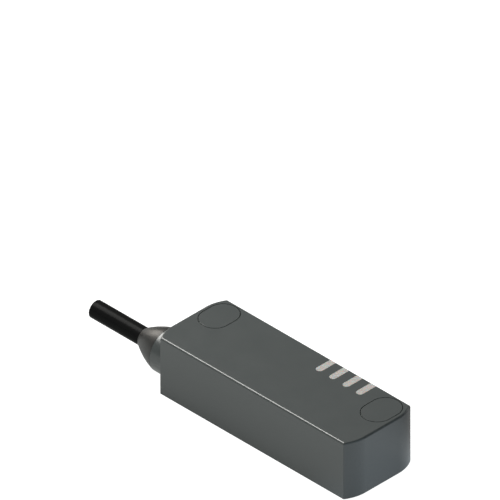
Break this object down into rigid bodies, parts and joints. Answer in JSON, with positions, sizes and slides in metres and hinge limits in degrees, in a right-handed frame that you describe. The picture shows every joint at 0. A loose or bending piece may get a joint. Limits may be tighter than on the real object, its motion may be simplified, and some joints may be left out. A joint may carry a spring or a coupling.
{
  "type": "proximity sensor",
  "caption": "Slim block-shaped proximity sensor with rounded ends, status light bars on one edge, capped screw slots and a short cable leaving one end through a tapered strain relief.",
  "frame": {"origin": "centre of the flat mounting face at the bottom of the housing, midway between the two screw slots along X", "axes": "+Z out of the mounting face into the sensor, towards the capped side; +X along the housing to its blind end, so the cable leaves along -X; +Y to the long edge with the light bars, so the sensing face looks along -Y"},
  "size_m": [0.1005, 0.025, 0.018],
  "materials": {
    "housing_plastic": "moulded dark grey plastic with fine spark-eroded grain",
    "cover_plastic": "moulded dark grey plastic, finer grain",
    "cap_plastic": "moulded dark grey plastic with fine grain",
    "relief_plastic": "semi-gloss dark grey moulding",
    "jacket_pvc": "satin black cable jacket",
    "light_guide_plastic": "milky translucent plastic",
    "seal_rubber": "matt black rubber",
    "clamp_brass": "turned",
    "bushing_steel": "turned and milled",
    "board_laminate": "green solder mask on glass laminate",
    "potting_resin": "cast dark resin",
    "chip_epoxy": "black moulding compound",
    "capacitor_case": "moulded yellow case",
    "crystal_can": "pressed can",
    "led_lens": "milky lens",
    "bobbin_plastic": "natural moulded plastic",
    "winding_copper": "enamelled copper wire",
    "ferrite": "sintered dark grey ferrite",
    "core_white": "satin wire insulation",
    "core_brown": "satin wire insulation",
    "core_green": "satin wire insulation",
    "core_yellow": "satin wire insulation",
    "core_grey": "satin wire insulation",
    "core_pink": "satin wire insulation",
    "core_blue": "satin wire insulation",
    "core_red": "satin wire insulation"
  },
  "bodies": {
    "housing": {"antenna_bobbin": "bobbin_plastic", "antenna_core": "ferrite", "antenna_lead_finish": "winding_copper", "antenna_lead_start": "winding_copper", "antenna_winding": "winding_copper", "base_cover": "cover_plastic", "cable_clamp": "clamp_brass", "cable_jacket": "jacket_pvc", "cable_seal": "seal_rubber", "circuit_board": "board_laminate", "controller_chip": "chip_epoxy", "core_blue": "core_blue", "core_brown": "core_brown", "core_green": "core_green", "core_grey": "core_grey", "core_pink": "core_pink", "core_red": "core_red", "core_white": "core_white", "core_yellow": "core_yellow", "crystal": "crystal_can", "housing_shell": "housing_plastic", "light_guide_1": "light_guide_plastic", "light_guide_2": "light_guide_plastic", "light_guide_3": "light_guide_plastic", "light_guide_4": "light_guide_plastic", "output_driver_1": "chip_epoxy", "output_driver_2": "chip_epoxy", "potting_slab": "potting_resin", "slot_bushing_blind_end": "bushing_steel", "slot_bushing_cable_end": "bushing_steel", "status_led_1": "led_lens", "status_led_2": "led_lens", "status_led_3": "led_lens", "status_led_4": "led_lens", "storage_capacitor": "capacitor_case", "strain_relief": "relief_plastic", "suppressor_diode": "chip_epoxy", "transceiver_chip": "chip_epoxy", "voltage_regulator": "chip_epoxy"},
    "cap_cable_end": {"screw_cap_cable_end": "cap_plastic"},
    "cap_blind_end": {"screw_cap_blind_end": "cap_plastic"}
  },
  "joints": [
    {"name": "cap_cable_end_lift", "type": "slide", "parent": "housing", "child": "cap_cable_end", "axis": [0, 0, 1], "range_m": [0, 0.012]},
    {"name": "cap_blind_end_lift", "type": "slide", "parent": "housing", "child": "cap_blind_end", "axis": [0, 0, 1], "range_m": [0, 0.012]}
  ]
}
